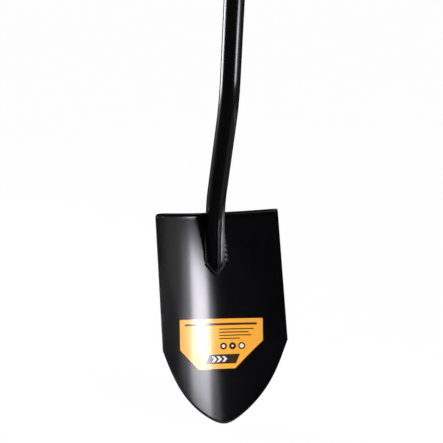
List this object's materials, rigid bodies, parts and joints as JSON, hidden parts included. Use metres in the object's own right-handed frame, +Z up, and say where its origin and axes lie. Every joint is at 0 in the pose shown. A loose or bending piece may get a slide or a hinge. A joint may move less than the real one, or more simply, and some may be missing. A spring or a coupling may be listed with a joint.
{
  "type": "round point shovel",
  "caption": "Round point shovel: dished steel blade with straight sides, forward foot treads and a pointed end, welded to a bent steel tube handle with a plastic end cap.",
  "frame": {"origin": "the place on the handle's axis where the upper hand holds it, 200 mm below the top of the end cap", "axes": "+Z up along the straight handle, +X to the right across the blade, and the concave front of the blade towards -Y"},
  "size_m": [0.2076, 0.1184, 1.2503],
  "materials": {
    "blade_paint": "semi-gloss black enamel on pressed steel sheet",
    "tube_paint": "gloss black enamel on steel tube",
    "weld_paint": "black enamel over rippled weld beads",
    "cap_plastic": "fine-grained black moulded plastic",
    "label_paper": "coated yellow-orange label with plain black panels"
  },
  "bodies": {
    "root": {"blade": "blade_paint", "handle_tube": "tube_paint", "weld_left": "weld_paint", "weld_right": "weld_paint", "weld_toe": "weld_paint", "end_cap": "cap_plastic", "label": "label_paper"}
  },
  "joints": []
}
